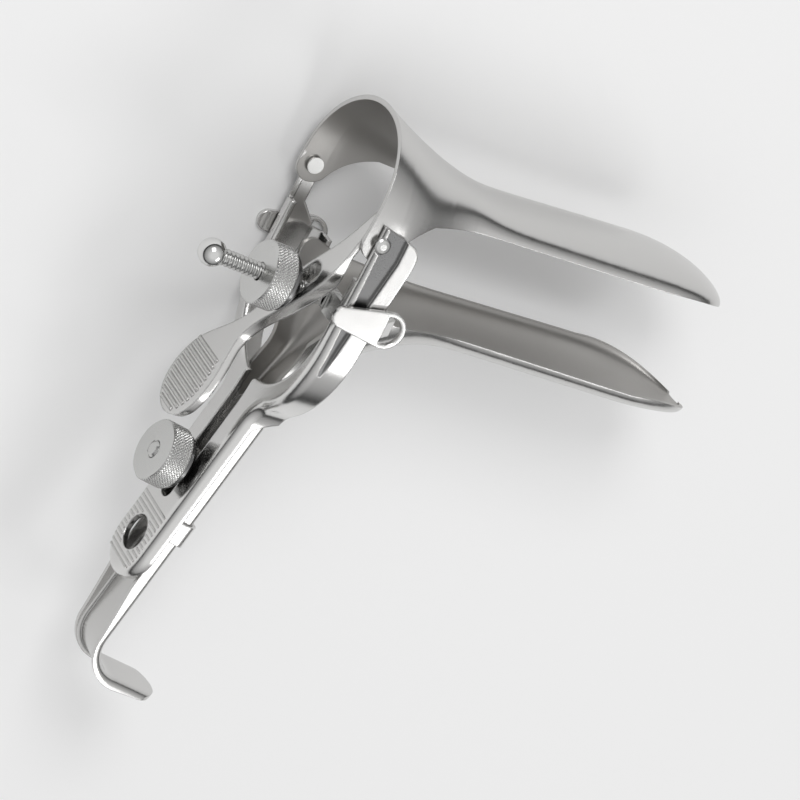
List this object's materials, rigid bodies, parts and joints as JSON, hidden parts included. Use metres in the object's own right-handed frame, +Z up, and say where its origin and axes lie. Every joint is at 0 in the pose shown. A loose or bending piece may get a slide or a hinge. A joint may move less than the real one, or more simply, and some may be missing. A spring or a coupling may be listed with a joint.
{
  "type": "bivalve speculum",
  "caption": "Duckbill speculum with two spoon blades, a sliding yoke that sets their distance, a thumb lever that tilts the upper one, and knurled nuts that lock both.",
  "frame": {"origin": "under the middle of the instrument's bounding box, on the plane it lies on", "axes": "+X from the handle towards the blade tips, +Y from the handle's hook towards the upper blade, +Z up from the table, towards the side of the tilt screw"},
  "size_m": [0.1526, 0.1667, 0.0552],
  "materials": {
    "blade_steel": "satin",
    "frame_steel": "polished",
    "turned_steel": "knurled and polished",
    "dark_steel": "polished"
  },
  "bodies": {
    "base": {"lower_blade": "blade_steel", "keeper_near": "frame_steel", "keeper_far": "frame_steel", "lift_stud": "turned_steel", "lift_washer": "dark_steel"},
    "yoke": {"yoke_frame": "frame_steel", "tilt_screw_bracket": "frame_steel", "tilt_screw_pin": "turned_steel", "hinge_rivet_near": "turned_steel", "hinge_rivet_far": "turned_steel"},
    "upper": {"upper_blade": "blade_steel", "thumb_lever": "frame_steel"},
    "tilt_rod": {"tilt_screw": "turned_steel", "tilt_screw_ball": "turned_steel"},
    "tilt_collar": {"tilt_washer": "dark_steel"},
    "tilt_knob": {"tilt_nut": "turned_steel"},
    "lift_knob": {"lift_nut": "turned_steel"}
  },
  "joints": [
    {"name": "yoke_slide", "type": "slide", "parent": "base", "child": "yoke", "axis": [0.1959, 0.9806, 0], "range_m": [-0.0118, 0.007]},
    {"name": "blade_tilt", "type": "hinge", "parent": "yoke", "child": "upper", "pos_m": [-0.03917, 0.05676, 0.0276], "axis": [0, 0, 1], "range_deg": [-8, 1.6]},
    {"name": "screw_swing", "type": "hinge", "parent": "yoke", "child": "tilt_rod", "pos_m": [-0.03797, 0.03594, 0.0396], "axis": [0, 0, 1], "range_deg": [-5.4, 1.3]},
    {"name": "washer_travel", "type": "slide", "parent": "tilt_rod", "child": "tilt_collar", "axis": [-0.9972, 0.075, 0], "range_m": [-0.0008, 0.003]},
    {"name": "tilt_nut_spin", "type": "hinge", "parent": "tilt_collar", "child": "tilt_knob", "pos_m": [-0.03797, 0.03594, 0.0396], "axis": [-0.9972, 0.075, 0], "range_deg": [-190, 835]},
    {"name": "lift_nut_spin", "type": "hinge", "parent": "base", "child": "lift_knob", "pos_m": [-0.05435, -0.01924, 0.0276], "axis": [-0.9806, 0.1959, 0], "range_deg": [0, 90]}
  ],
  "couplings": [
    {"joint": "screw_swing", "follows": "blade_tilt", "ratio": 0.66},
    {"joint": "washer_travel", "follows": "blade_tilt", "m_per_rad": -0.020569},
    {"joint": "tilt_nut_spin", "follows": "blade_tilt", "ratio": -103.39}
  ]
}
